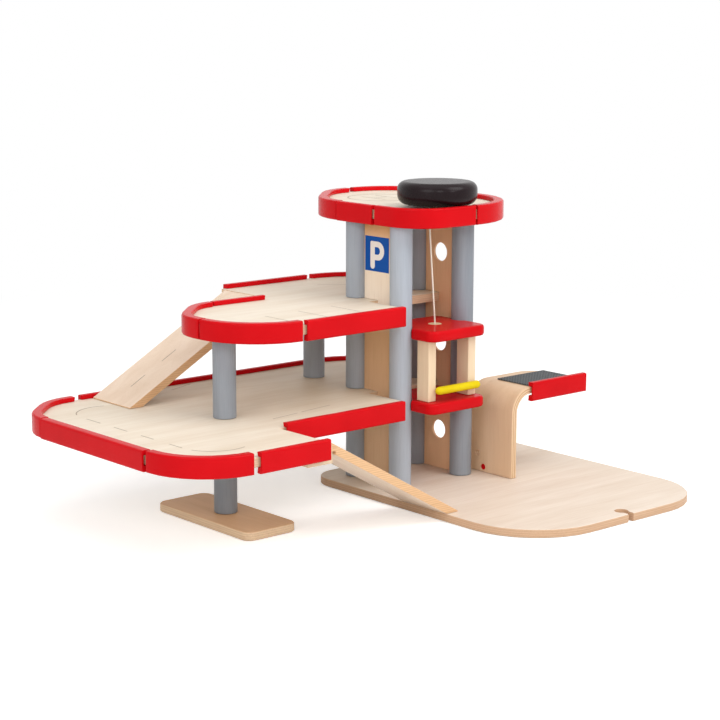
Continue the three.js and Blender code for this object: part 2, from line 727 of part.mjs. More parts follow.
// Barrier bar with rounded ends, on its pivot pin
const barStart = leftPostX + barLeftInset;
const barEnd = pivotX + barRightOverhang;
const barProfile = [[0, barStart]];
barEndShares.forEach(([radiusShare, reachShare]) => {
  barProfile.push([barRadius * radiusShare, barStart + barRadius * reachShare]);
});
[...barEndShares].reverse().forEach(([radiusShare, reachShare]) => {
  barProfile.push([barRadius * radiusShare, barEnd - barRadius * reachShare]);
});
barProfile.push([0, barEnd]);
const barGeometry = new THREE.LatheGeometry(barProfile.map(([r, x]) => new THREE.Vector2(r, x)), roundSides);
barGeometry.rotateZ(-Math.PI / 2);
barGeometry.translate(0, barY, barZ);
addPiece('barrier_bar', solidOf(barGeometry).subtract(pivotBore), yellowPaint);
addPiece('barrier_pivot', rodAlongY(
  pivotDiameter / 2, pivotX, pivotFront + fitGap, pivotBack - fitGap, barZ,
), steel);

// Winding knob above the roof, hollow underneath for the drum
const knobLow = deck3Top + knobClearance;
const knobHigh = knobLow + knobHeight;
const knobRadius = knobDiameter / 2;
const recessTop = knobLow + knobRecessDepth;
const knobEdge = runThrough([
  [0, knobLow], [knobRadius, knobLow, knobRounding], [knobRadius, knobHigh, knobTopRounding], [0, knobHigh],
], false, cornerArcSteps).map(({ x, y }) => [x, y]);
const shaftTop = recessTop + shaftGrip;
addPiece('winding_knob', withoutAll(turned(knobEdge, knobX, knobY, knobSides), [
  rod(knobRecessDiameter / 2, knobX, knobY, knobLow - cutOverrun, recessTop),
  rod(shaftDiameter / 2 + fitGap, knobX, knobY, recessTop - cutOverrun, shaftTop),
]), blackGloss);

const drumLow = deck3Top + fitGap;
const drumHigh = recessTop - fitGap;
const drumCore = windRadius - cordDiameter / 2 - fitGap;
const flangeRadius = drumFlangeDiameter / 2;
const shaftLow = deck3Bottom - fitGap;
const keeperHigh = shaftLow - fitGap;
const keeperTop = keeperHigh + keeperShankLength;
const drumProfile = [
  [0, shaftLow], [shaftDiameter / 2, shaftLow], [shaftDiameter / 2, drumLow],
  [flangeRadius, drumLow], [flangeRadius, drumLow + drumFlangeThickness],
  [drumCore, drumLow + drumFlangeThickness], [drumCore, drumHigh - drumFlangeThickness],
  [flangeRadius, drumHigh - drumFlangeThickness], [flangeRadius, drumHigh],
  [shaftDiameter / 2, drumHigh], [shaftDiameter / 2, shaftTop - fitGap], [0, shaftTop - fitGap],
];
const keeperBore = rod(
  keeperShankDiameter / 2 + fitGap, knobX, knobY, shaftLow - cutOverrun, keeperTop + fitGap, pinSides,
);
addPiece('winding_drum', turned(drumProfile, knobX, knobY).subtract(keeperBore), birch);

// The turns of cord on the drum, hidden in the knob's recess, as one sleeve
const windLow = drumLow + drumFlangeThickness + fitGap;
const cordRadius = cordDiameter / 2;
const windHigh = windLow + windTurns * cordDiameter;
addPiece('wound_cord', tube(
  windRadius + cordRadius, windRadius - cordRadius, knobX, knobY, windLow, windHigh,
), cottonCord);

// Washer-head screw that keeps the drum's shaft in the roof
const keeperRadius = keeperHeadDiameter / 2;
addPiece('shaft_keeper_screw', turned([
  [0, keeperHigh - keeperHeadHeight], [keeperRadius - keeperRimWidth, keeperHigh - keeperHeadHeight],
  [keeperRadius - keeperRimWidth, keeperHigh - keeperRimHeight],
  [keeperRadius, keeperHigh - keeperRimHeight],
  [keeperRadius, keeperHigh], [keeperShankDiameter / 2, keeperHigh],
  [keeperShankDiameter / 2, keeperTop], [0, keeperTop],
], knobX, knobY), steel);

// The cord from the drum through the roof to the cabin, and the knot under the cabin top
const cordTop = windLow + (windTurns * cordDiameter) / 2;
const bendStart = dropReach - cordBend;
const cordEnd = cabinTopLow + fitGap / 2;
const cordPlaces = [0, 30, 60, 90].map((degrees) => {
  const angle = THREE.MathUtils.degToRad(degrees);
  const along = bendStart + cordBend * Math.sin(angle);
  return [drumX + along * Math.cos(dropHeading), drumY + along * Math.sin(dropHeading),
    cordTop - cordBend + cordBend * Math.cos(angle)];
});
cordPlaces.push([dropX, dropY, deck3Top - cordDiameter], [dropX, dropY, deck3Bottom]);
const leanTop = deck3Bottom - cordStraight;
const leanBottom = cabinTopHigh + cordStraight;
cordLeanShares.forEach((leanShare) => {
  cordPlaces.push([
    THREE.MathUtils.lerp(dropX, cabinX, leanShare), THREE.MathUtils.lerp(dropY, cabinY, leanShare),
    THREE.MathUtils.lerp(leanTop, leanBottom, leanShare),
  ]);
});
cordPlaces.push([cabinX, cabinY, cabinTopHigh], [cabinX, cabinY, (cabinTopHigh + cordEnd) / 2]);
cordPlaces.push([cabinX, cabinY, cordEnd]);
const cordRoute = new THREE.CatmullRomCurve3(cordPlaces.map((place) => new THREE.Vector3(...place)));
const cordRound = outlineOf(Array.from({ length: cordSides }, (unused, side) => {
  const angle = (side / cordSides) * 2 * Math.PI;
  return [cordRadius * Math.cos(angle), cordRadius * Math.sin(angle)];
}));
addPiece('lift_cord', solidOf(new THREE.ExtrudeGeometry(new THREE.Shape(cordRound), {
  steps: cordSteps, extrudePath: cordRoute, bevelEnabled: false,
})), cottonCord);
const knotRadius = knotDiameter / 2;
const knotZ = cabinTopLow - fitGap - knotRadius;
const knotProfile = runThrough([
  [0, knotZ - knotRadius], [knotRadius, knotZ - knotRadius, knotRadius * knotRoundShare],
  [knotRadius, knotZ + knotRadius, knotRadius * knotRoundShare], [0, knotZ + knotRadius],
], false, smallArcSteps).map(({ x, y }) => [x, y]);
addPiece('cord_knot', turned(knotProfile, cabinX, cabinY, pinSides), cottonCord);

// Canopy: one bent plywood sheet, its free far corner rounded
const canopyFoot = baseThickness + fitGap;
const canopyInner = canopyTop - canopyThickness;
const canopyInnerRadius = canopyOuterRadius - canopyThickness;
const canopySide = runThrough([
  [canopyWallX, canopyFoot], [canopyWallX + canopyThickness, canopyFoot],
  [canopyWallX + canopyThickness, canopyInner, canopyInnerRadius],
  [canopyEnd, canopyInner], [canopyEnd, canopyTop], [canopyWallX, canopyTop, canopyOuterRadius],
], true, boardArcSteps).map(({ x, y }) => [x, y]);
const canopySheet = sideBoard(canopySide, canopyFront, canopyBack);
const canopyPlan = slab(outlineOf([
  [canopyWallX - cutOverrun, canopyFront - cutOverrun], [canopyEnd, canopyFront - cutOverrun],
  [canopyEnd, canopyBack, canopyEndRadius], [canopyWallX - cutOverrun, canopyBack],
]), 0, canopyTop + cutOverrun);
const wallEnd = canopyWallX + canopyThickness;
const wallHoles = [
  [wallHoleDiameter / 2, wallHoleY, baseThickness + wallHoleHeight],
  [wallPlugDiameter / 2 + fitGap, wallPlugY, baseThickness + wallPlugHeight],
].map(([radius, y, z]) => rodAlongX(radius, canopyWallX - cutOverrun, wallEnd + cutOverrun, y, z, pinSides));
addPiece('canopy', withoutAll(canopySheet.intersect(canopyPlan), [...wallHoles, ...screwBores]), birch);
const wallPlugZ = baseThickness + wallPlugHeight;
addPiece('canopy_wall_plug', rodAlongX(
  wallPlugDiameter / 2, canopyWallX + wallPlugInset, wallEnd, wallPlugY, wallPlugZ, pinSides,
), redPaint);
const stripFront = canopyFront - railSeat - railStandout;
const stripStart = canopyWallX + stripSetback;
const stripEnd = canopyEnd + stripOverhang;
addPiece('canopy_strip', rail([[stripStart, stripFront], [stripEnd, stripFront]], canopyTop), redPaint);
const padStart = canopyWallX + padSetback;
addPiece('canopy_pad', block(padStart, canopyEnd - padEdge, stripFront + railThickness + fitGap, padBack,
  canopyTop + fitGap, canopyTop + fitGap + padThickness), greyPad);

// Origin at the bottom centre of the whole object
garage.position.set(-(leftRailX + baseRight) / 2, -(baseFront + deckBack) / 2, 0);

export default garage;
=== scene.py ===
"""Looks, camera and light for a toy parking garage with a lift. Metres, +Z up."""

import json
from math import cos, pi, radians, sin

import bmesh
import bpy
from mathutils import Matrix, Vector

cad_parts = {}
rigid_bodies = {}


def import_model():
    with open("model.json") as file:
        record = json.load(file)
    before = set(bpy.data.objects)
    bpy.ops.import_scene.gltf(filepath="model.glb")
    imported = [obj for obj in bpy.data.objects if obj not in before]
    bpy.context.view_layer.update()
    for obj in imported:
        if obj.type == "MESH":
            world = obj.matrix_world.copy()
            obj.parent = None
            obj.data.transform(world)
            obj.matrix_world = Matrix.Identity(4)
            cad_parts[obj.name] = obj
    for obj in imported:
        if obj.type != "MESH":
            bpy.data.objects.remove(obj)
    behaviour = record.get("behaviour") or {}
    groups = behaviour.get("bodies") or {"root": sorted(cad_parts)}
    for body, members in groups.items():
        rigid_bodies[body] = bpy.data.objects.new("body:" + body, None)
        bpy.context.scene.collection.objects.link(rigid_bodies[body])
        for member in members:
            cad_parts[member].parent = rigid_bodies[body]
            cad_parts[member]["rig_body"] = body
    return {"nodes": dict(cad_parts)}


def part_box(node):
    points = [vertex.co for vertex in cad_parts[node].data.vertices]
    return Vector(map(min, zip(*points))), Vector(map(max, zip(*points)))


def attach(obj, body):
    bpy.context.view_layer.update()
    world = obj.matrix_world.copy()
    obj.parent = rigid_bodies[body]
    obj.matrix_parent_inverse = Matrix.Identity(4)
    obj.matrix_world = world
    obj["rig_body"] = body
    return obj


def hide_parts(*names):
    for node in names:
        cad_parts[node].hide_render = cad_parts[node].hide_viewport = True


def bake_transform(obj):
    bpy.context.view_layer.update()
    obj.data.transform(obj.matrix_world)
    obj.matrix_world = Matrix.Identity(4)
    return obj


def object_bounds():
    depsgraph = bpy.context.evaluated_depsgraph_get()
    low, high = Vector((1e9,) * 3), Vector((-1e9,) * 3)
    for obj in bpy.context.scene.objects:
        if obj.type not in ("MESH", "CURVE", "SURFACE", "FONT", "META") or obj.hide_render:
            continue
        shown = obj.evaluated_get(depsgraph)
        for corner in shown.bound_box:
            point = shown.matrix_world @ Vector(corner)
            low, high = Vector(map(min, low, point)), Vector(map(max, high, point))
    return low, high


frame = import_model()
cad_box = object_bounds()

# Measures below are millimetres from the foot of the left lift post
POST_LOW, POST_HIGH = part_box("lift_post_left")
ORIGIN = Vector(((POST_LOW.x + POST_HIGH.x) / 2, (POST_LOW.y + POST_HIGH.y) / 2, 0))


def at(x, y, z):
    return ORIGIN + Vector((x, y, z)) / 1000


# Camera of the photograph
HEADING, PITCH, ROLL = radians(40.96), radians(10.65), radians(0.11)
CAMERA_X, CAMERA_Y, CAMERA_Z = -1371.09, -1510.54, 542.63
SENSOR_WIDTH, LENS = 36, 93.73
SHIFT_X, SHIFT_Y = 0.0004, -0.0058
CLIP_START, CLIP_END = 0.1, 60

forward = Vector((sin(HEADING) * cos(PITCH), cos(HEADING) * cos(PITCH), -sin(PITCH)))
level = Vector((cos(HEADING), -sin(HEADING), 0))
upward = level.cross(forward)
right = level * cos(ROLL) + upward * sin(ROLL)
up = upward * cos(ROLL) - level * sin(ROLL)
camera = bpy.data.objects.new("camera", bpy.data.cameras.new("camera"))
bpy.context.scene.collection.objects.link(camera)
turned = Matrix((right, up, -forward)).transposed().to_4x4()
camera.matrix_world = Matrix.Translation(at(CAMERA_X, CAMERA_Y, CAMERA_Z)) @ turned
camera.data.sensor_width = SENSOR_WIDTH
camera.data.lens = LENS
camera.data.shift_x = SHIFT_X
camera.data.shift_y = SHIFT_Y
camera.data.clip_start = CLIP_START
camera.data.clip_end = CLIP_END
bpy.context.scene.camera = camera


# Materials. A noise seldom leaves the reach from LOW to HIGH, so most ramps run between them.
LOW, HIGH = 0.3, 0.7
FINE_DEPTH = 0.00005
FIBRE_DEPTH = 0.00012
WOOD_GLOSS = 0.3
PLY = 0.0024
X_GRAIN, Y_GRAIN, Z_GRAIN = 0, 1, 2
FIGURE_ACROSS, FIGURE_ALONG = 46, 5
FIBRE_ACROSS, FIBRE_ALONG = 900, 26


class Shading:
    """One node material, and short calls for the nodes in it."""

    def __init__(self, name):
        self.material = bpy.data.materials.new(name)
        self.material.use_nodes = True
        self.tree = self.material.node_tree
        self.surface = self.tree.nodes["Principled BSDF"]
        self.place = self.tree.nodes.new("ShaderNodeTexCoord").outputs["Object"]

    def node(self, kind, **settings):
        made = self.tree.nodes.new(kind)
        for key, value in settings.items():
            setattr(made, key, value)
        return made

    def link(self, source, target):
        self.tree.links.new(source, target)

    def stretched(self, scale, shift=(0, 0, 0)):
        mapping = self.node("ShaderNodeMapping")
        mapping.inputs["Scale"].default_value = scale
        mapping.inputs["Location"].default_value = shift
        self.link(self.place, mapping.inputs["Vector"])
        return mapping.outputs["Vector"]

    def noise(self, vector, detail, roughness, distortion=0.0):
        made = self.node("ShaderNodeTexNoise")
        made.inputs["Scale"].default_value = 1
        made.inputs["Detail"].default_value = detail
        made.inputs["Roughness"].default_value = roughness
        made.inputs["Distortion"].default_value = distortion
        self.link(vector, made.inputs["Vector"])
        return made.outputs["Fac"]

    def ramp(self, factor, *stops):
        made = self.node("ShaderNodeValToRGB")
        points = made.color_ramp.elements
        while len(points) < len(stops):
            points.new(0.5)
        for point, (place, colour) in zip(points, stops):
            point.position = place
            point.color = linear(colour) if len(colour) == 3 else colour
        self.link(factor, made.inputs["Fac"])
        return made.outputs["Color"]

    def grey(self, factor, low_place, low, high_place, high):
        return self.ramp(factor, (low_place, (low, low, low, 1)), (high_place, (high, high, high, 1)))

    def mix(self, factor, first, second):
        made = self.node("ShaderNodeMix", data_type="RGBA")
        for socket, value in ((made.inputs[0], factor), (made.inputs[6], first), (made.inputs[7], second)):
            if isinstance(value, bpy.types.NodeSocket):
                self.link(value, socket)
            else:
                socket.default_value = value
        return made.outputs[2]

    def math(self, operation, first, second=0.0):
        made = self.node("ShaderNodeMath", operation=operation)
        for socket, value in zip(made.inputs, (first, second)):
            if isinstance(value, bpy.types.NodeSocket):
                self.link(value, socket)
            else:
                socket.default_value = value
        return made.outputs[0]

    def bump(self, height, distance, strength):
        made = self.node("ShaderNodeBump")
        made.inputs["Strength"].default_value = strength
        made.inputs["Distance"].default_value = distance
        self.link(height, made.inputs["Height"])
        self.link(made.outputs["Normal"], self.surface.inputs["Normal"])

    def colour(self, value):
        self.link(value, self.surface.inputs["Base Color"])

    def rough(self, value):
        if isinstance(value, bpy.types.NodeSocket):
            self.link(value, self.surface.inputs["Roughness"])
        else:
            self.surface.inputs["Roughness"].default_value = value

    def gloss(self, level):
        self.surface.inputs["Specular IOR Level"].default_value = level


def linear(colour):
    """A colour read from a picture, 0 to 255 each way, as linear light."""
    shares = [part / 255 for part in colour]
    return (*(s / 12.92 if s <= 0.04045 else ((s + 0.055) / 1.055) ** 2.4 for s in shares), 1)


def upright(shade):
    """1 on the edges of a lying board, 0 on its faces."""
    normal = shade.node("ShaderNodeSeparateXYZ")
    coordinates = shade.node("ShaderNodeTexCoord")
    shade.link(coordinates.outputs["Normal"], normal.inputs[0])
    flatness = shade.math("ABSOLUTE", normal.outputs["Z"])
    return shade.grey(flatness, 0.55, 1, 0.8, 0)


def fibres(shade, along, shift):
    """Broad figure and fine fibre of wood whose grain runs along one axis."""
    broad = [FIGURE_ACROSS] * 3
    fine = [FIBRE_ACROSS] * 3
    broad[along] = FIGURE_ALONG
    fine[along] = FIBRE_ALONG
    figure = shade.noise(shade.stretched(broad, shift), 3, 0.55, 0.5)
    streak = shade.noise(shade.stretched(fine, shift), 2, 0.6)
    return figure, streak


def with_fibre(shade, streak, tone, dark, cover=0.16):
    """The tone with darker fibres laid over it."""
    return shade.mix(shade.grey(streak, 0.52, 0, 0.74, cover), tone, linear(dark))


def satin(shade, streak, smooth=0.45, dull=0.58):
    """Satin lacquer that follows the fibre."""
    shade.rough(shade.grey(streak, LOW, smooth, HIGH, dull))
    shade.bump(streak, FIBRE_DEPTH, 0.35)


def birch(name, along, shift, pale, deep, rim=None):
    """Clear-lacquered birch: soft figure, fine fibre, and darker, faintly layered edges on a board."""
    shade = Shading(name)
    figure, streak = fibres(shade, along, shift)
    tone = shade.ramp(figure, (0.32, deep), (0.68, pale))
    tone = with_fibre(shade, streak, tone, (186, 152, 116))
    if rim:
        height = shade.node("ShaderNodeSeparateXYZ")
        shade.link(shade.place, height.inputs[0])
        layer = shade.math("FRACT", shade.math("MULTIPLY", height.outputs["Z"], 1 / PLY))
        dark = tuple(part - 16 for part in rim)
        line = shade.ramp(layer, (0.0, dark), (0.25, rim), (0.7, rim), (1.0, dark))
        line = shade.mix(shade.grey(streak, 0.45, 0, 0.7, 0.22), line, linear((168, 122, 84)))
        tone = shade.mix(upright(shade), tone, line)
    shade.colour(tone)
    satin(shade, streak)
    shade.gloss(WOOD_GLOSS)
    return shade.material


PANEL_REACH = 0.32


def panel_with_painted_light_and_shade(name, shift, tones):
    """Upright birch sheet with painted light and shade by height: pairs of a height in metres and a colour.
    """
    shade = Shading(name)
    figure, streak = fibres(shade, Z_GRAIN, shift)
    place = shade.node("ShaderNodeSeparateXYZ")
    shade.link(shade.place, place.inputs[0])
    # The colour by height is painted light and shade, not the wood's own tone
    tone = shade.ramp(shade.math("MULTIPLY", place.outputs["Z"], 1 / PANEL_REACH),
                      *((height / PANEL_REACH, colour) for height, colour in tones))
    tone = shade.mix(shade.grey(figure, LOW, 0.14, HIGH, 0), tone, linear((190, 146, 104)))
    tone = with_fibre(shade, streak, tone, (176, 130, 88))
    shade.colour(tone)
    satin(shade, streak)
    shade.gloss(WOOD_GLOSS)
    return shade.material


BEND_RADIUS, BENT_PLY = 0.029, 0.00267


def bent_birch(name, shift):
    """Bent plywood: on its two edges the layers follow the bend."""
    shade = Shading(name)
    figure, streak = fibres(shade, Z_GRAIN, shift)
    tone = shade.ramp(figure, (0.32, (220, 186, 150)), (0.68, (232, 201, 168)))
    tone = with_fibre(shade, streak, tone, (176, 138, 98), 0.14)
    canopy_low, canopy_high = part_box("canopy")
    bend = Vector((canopy_low.x + BEND_RADIUS, 0, canopy_high.z - BEND_RADIUS))
    place = shade.node("ShaderNodeSeparateXYZ")
    shade.link(shade.place, place.inputs[0])
    across = shade.math("MAXIMUM", shade.math("SUBTRACT", bend.x, place.outputs["X"]), 0.0)
    above = shade.math("MAXIMUM", shade.math("SUBTRACT", place.outputs["Z"], bend.z), 0.0)
    reach = shade.math("SQRT", shade.math("ADD", shade.math("MULTIPLY", across, across),
                                          shade.math("MULTIPLY", above, above)))
    depth = shade.math("SUBTRACT", BEND_RADIUS, reach)
    layer = shade.math("FRACT", shade.math("MULTIPLY", depth, 1 / BENT_PLY))
    line = shade.ramp(layer, (0.0, (168, 122, 82)), (0.14, (206, 166, 124)), (0.5, (231, 205, 172)),
                      (0.86, (206, 166, 124)), (1.0, (168, 122, 82)))
    normal = shade.node("ShaderNodeSeparateXYZ")
    shade.link(shade.node("ShaderNodeTexCoord").outputs["Normal"], normal.inputs[0])
    side = shade.grey(shade.math("ABSOLUTE", normal.outputs["Y"]), 0.6, 0, 0.85, 1)
    shade.colour(shade.mix(side, tone, line))
    satin(shade, streak, 0.4, 0.52)
    return shade.material


EDGE_WIDTH = 0.0012


def gloss_paint(name, colour, deep, edge, shift=(0, 0, 0)):
    """Lacquer over wood, with a faint ripple and thinner, lighter edges."""
    shade = Shading(name)
    broad = shade.noise(shade.stretched((22, 22, 22), shift), 3, 0.5)
    ripple = shade.noise(shade.stretched((420, 420, 420), shift), 2, 0.5)
    tone = shade.ramp(broad, (LOW, deep), (HIGH, colour))
    worn = shade.noise(shade.stretched((700, 700, 700), shift), 4, 0.6)
    rounded = shade.node("ShaderNodeBevel", samples=4)
    rounded.inputs["Radius"].default_value = EDGE_WIDTH
    turned_from = shade.node("ShaderNodeVectorMath", operation="DOT_PRODUCT")
    shade.link(rounded.outputs["Normal"], turned_from.inputs[0])
    shade.link(shade.node("ShaderNodeNewGeometry").outputs["Normal"], turned_from.inputs[1])
    rim = shade.grey(turned_from.outputs["Value"], 0.8, 1, 0.99, 0)
    rim = shade.math("MULTIPLY", rim, shade.grey(worn, 0.45, 0.02, 0.66, 0.2))
    shade.colour(shade.mix(rim, tone, linear(edge)))
    shade.rough(shade.grey(worn, LOW, 0.2, HIGH, 0.28))
    shade.gloss(0.055)
    shade.bump(ripple, FIBRE_DEPTH, 0.15)
    return shade.material


STAIN_TONES = ((148, 155, 164), (165, 172, 181), (122, 128, 138))


def stained_dowel(name, share=1.0, shift=(0, 0, 0)):
    """Grey stain on turned wood: grain runs up the post, and a share above 1 makes it paler as painted
    light, below 1 deeper as painted shade.
    """
    shade = Shading(name)
    figure, streak = fibres(shade, Z_GRAIN, shift)
    deep, pale, fibre = (tuple(part * share for part in grey) for grey in STAIN_TONES)
    tone = shade.ramp(figure, (LOW, deep), (HIGH, pale))
    tone = shade.mix(shade.grey(streak, 0.5, 0, 0.74, 0.22), tone, linear(fibre))
    shade.colour(tone)
    shade.rough(shade.grey(streak, LOW, 0.42, HIGH, 0.56))
    shade.gloss(0.35)
    shade.bump(streak, 0.00015, 0.4)
    return shade.material


def black_lacquer(name):
    shade = Shading(name)
    broad = shade.noise(shade.stretched((30, 30, 30)), 3, 0.5)
    fine = shade.noise(shade.stretched((260, 260, 260)), 4, 0.6)
    shade.colour(shade.ramp(broad, (LOW, (23, 12, 15)), (HIGH, (30, 18, 21))))
    shade.rough(shade.grey(fine, LOW, 0.25, HIGH, 0.31))
    shade.gloss(0.16)
    shade.bump(fine, 0.00003, 0.1)
    return shade.material


DOT_PITCH = 0.0026


def grip_pad(name):
    """Charcoal grip mat: a woven grid of raised dots."""
    shade = Shading(name)
    place = shade.node("ShaderNodeSeparateXYZ")
    shade.link(shade.place, place.inputs[0])
    step = 2 * pi / DOT_PITCH
    waves = shade.math("MULTIPLY", shade.math("SINE", shade.math("MULTIPLY", place.outputs["X"], step)),
                       shade.math("SINE", shade.math("MULTIPLY", place.outputs["Y"], step)))
    fleck = shade.noise(shade.stretched((900, 900, 900)), 2, 0.6)
    tone = shade.ramp(waves, (0.05, (50, 54, 57)), (0.5, (122, 127, 129)))
    shade.colour(shade.mix(shade.grey(fleck, 0.45, 0, 0.75, 0.35), tone, linear((44, 47, 49))))
    shade.rough(0.8)
    shade.bump(waves, 0.0003, 0.6)
    return shade.material


def steel(name):
    shade = Shading(name)
    fine = shade.noise(shade.stretched((1500, 200, 1500)), 2, 0.6)
    shade.colour(shade.ramp(fine, (LOW, (168, 168, 170)), (HIGH, (196, 196, 198))))
    shade.surface.inputs["Metallic"].default_value = 1
    shade.rough(shade.grey(fine, LOW, 0.24, HIGH, 0.4))
    shade.bump(fine, FINE_DEPTH, 0.2)
    return shade.material


def cotton(name):
    shade = Shading(name)
    fine = shade.noise(shade.stretched((2600, 2600, 2600)), 3, 0.6)
    shade.colour(shade.ramp(fine, (LOW, (226, 217, 200)), (HIGH, (246, 240, 229))))
    shade.rough(0.85)
    shade.surface.inputs["Sheen Weight"].default_value = 0.25
    shade.bump(fine, 0.0001, 0.5)
    return shade.material


def ink(name, colour, bare, cover=0.9):
    """Printed ink that lets a little of the wood through."""
    shade = Shading(name)
    gap = shade.noise(shade.stretched((900, 900, 900)), 3, 0.6)
    tone = shade.mix(shade.grey(gap, 0.5, cover, 0.72, cover - 0.3), linear(bare), linear(colour))
    shade.colour(tone)
    shade.rough(shade.grey(gap, LOW, 0.45, HIGH, 0.6))
    shade.gloss(0.15)
    shade.bump(gap, FINE_DEPTH, 0.3)
    return shade.material


RED = gloss_paint("red_gloss", (206, 15, 23), (197, 12, 20), (224, 80, 78))
YELLOW = gloss_paint("yellow_gloss", (222, 200, 24), (212, 188, 20), (240, 226, 120), (3, 1, 2))
GREY = stained_dowel("grey_stain")
# One grey stain for all posts: paler on the left lift post as painted light, deeper on the right lift post
# and the legs as painted shade
POST_GREYS_PAINTED_LIGHT_AND_SHADE = {
    "lift_post_left": stained_dowel("left_post_stain_painted_light", 1.05, (1, 0, 0)),
    "lift_post_right": stained_dowel("right_post_stain_painted_shade", 0.88, (2, 0, 0)),
    "leg_lower": stained_dowel("lower_leg_stain_painted_shade", 0.86, (3, 0, 0)),
    "leg_upper": stained_dowel("upper_leg_stain_painted_shade", 0.92, (4, 0, 0)),
}
BLACK = black_lacquer("black_gloss")
PAD = grip_pad("grip_mat")
STEEL = steel("zinc_steel")
COTTON = cotton("cotton_twist")
ROAD_INK = ink("road_print", (150, 132, 112), (232, 215, 192))
SIGN_INK = ink("sign_blue", (6, 76, 158), (36, 98, 174), 0.97)
SIGN_LETTER = ink("sign_letter", (236, 230, 222), (216, 198, 176), 0.96)

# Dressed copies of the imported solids
NEAR = 0.00002
SOFT_ANGLE = radians(52)


def finish_mesh(name, shape, smooth_angle=SOFT_ANGLE):
    for line in shape.edges:
        line.smooth = len(line.link_faces) == 2 and line.calc_face_angle(0) < smooth_angle
    for face in shape.faces:
        face.smooth = True
    mesh = bpy.data.meshes.new(name)
    shape.to_mesh(mesh)
    shape.free()
    made = bpy.data.objects.new(name, mesh)
    bpy.context.scene.collection.objects.link(made)
    return made


def round_ends(shape, radius):
    """Round the upright edges at the two ends of a rail."""
    uprights = [line for line in shape.edges
                if abs(line.verts[0].co.z - line.verts[1].co.z) > radius
                and (line.verts[0].co - line.verts[1].co).xy.length < NEAR
                and len(line.link_faces) == 2 and line.calc_face_angle(0) > SOFT_ANGLE]
    bmesh.ops.bevel(shape, geom=uprights, offset=radius, segments=4, profile=0.5, affect="EDGES")


def dress(node, material, slot, edge, end_radius=0.0):
    """A copy of a node's mesh with eased edges, in its own material."""
    source = frame["nodes"][node]
    shape = bmesh.new()
    shape.from_mesh(source.data)
    bmesh.ops.remove_doubles(shape, verts=shape.verts, dist=NEAR)
    bmesh.ops.dissolve_limit(shape, angle_limit=radians(0.5), verts=shape.verts, edges=shape.edges)
    if end_radius:
        round_ends(shape, end_radius)
    made = finish_mesh(node + "_finish", shape)
    made.data.materials.append(material)
    eased = made.modifiers.new("eased_edges", "BEVEL")
    eased.width = edge
    eased.segments = 3
    eased.limit_method = "ANGLE"
    eased.angle_limit = SOFT_ANGLE
    eased.harden_normals = True
    weighted = made.modifiers.new("weighted_normals", "WEIGHTED_NORMAL")
    weighted.keep_sharp = True
    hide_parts(node)
    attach(made, source["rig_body"])
    return made


def added(made, body, slot, *materials):
    for material in materials:
        made.data.materials.append(material)
    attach(made, body)
    return made


nodes = frame["nodes"]
GREY_NODES = ("lift_post", "rear_", "leg_lower", "leg_upper", "back_leg")
ARC_END_RADIUS, RAIL_END_RADIUS = 0.0028, 0.0018
for name in nodes:
    if name.startswith(GREY_NODES):
        dress(name, POST_GREYS_PAINTED_LIGHT_AND_SHADE.get(name, GREY), "grey_paint", 0.0008)
    if "rail" in name or name == "canopy_strip":
        end_radius = ARC_END_RADIUS if name.endswith("_arc") else RAIL_END_RADIUS
        dress(name, RED, "red_paint", 0.0005, end_radius)

# Tones of the woods: pale and deep figure, then the edges of a board
EDGE_TONE = (230, 200, 166)
BASE_TONES = (231, 217, 201), (221, 204, 185), (206, 170, 138)
# The foot plate's birch is deeper and oranger than the base's as painted shade under deck 1
FOOT_TONES_PAINTED_SHADE = (228, 188, 150), (216, 174, 134), EDGE_TONE
DECK_TONES = (236, 225, 207), (227, 213, 192), EDGE_TONE
RAMP_TONES = (238, 216, 194), (228, 203, 178), (226, 184, 140)
BATTEN_TONES = (230, 207, 177), (218, 192, 160)
CABIN_POST_TONES = (238, 216, 186), (224, 198, 164)
PLUG_TONES = (236, 212, 178), (222, 196, 160)
DRUM_TONES = (232, 208, 176), (218, 190, 154)

# Painted light and shade on the panels beside the shaft, each colour at its height in metres
# The left panel is deeper and oranger lower down and under the roof as painted shade, and pale between as a
# painted lit band
PANEL_LEFT_PAINTED_LIGHT_AND_SHADE = (
    (0.1, (224, 186, 148)), (0.18, (220, 178, 134)), (0.215, (246, 232, 214)),
    (0.25, (244, 226, 202)), (0.3, (216, 162, 106)),
)
# The right panel is deeper and oranger all over, most near the top, as painted shade
PANEL_RIGHT_PAINTED_SHADE = (0.1, (244, 200, 158)), (0.3, (240, 192, 148))

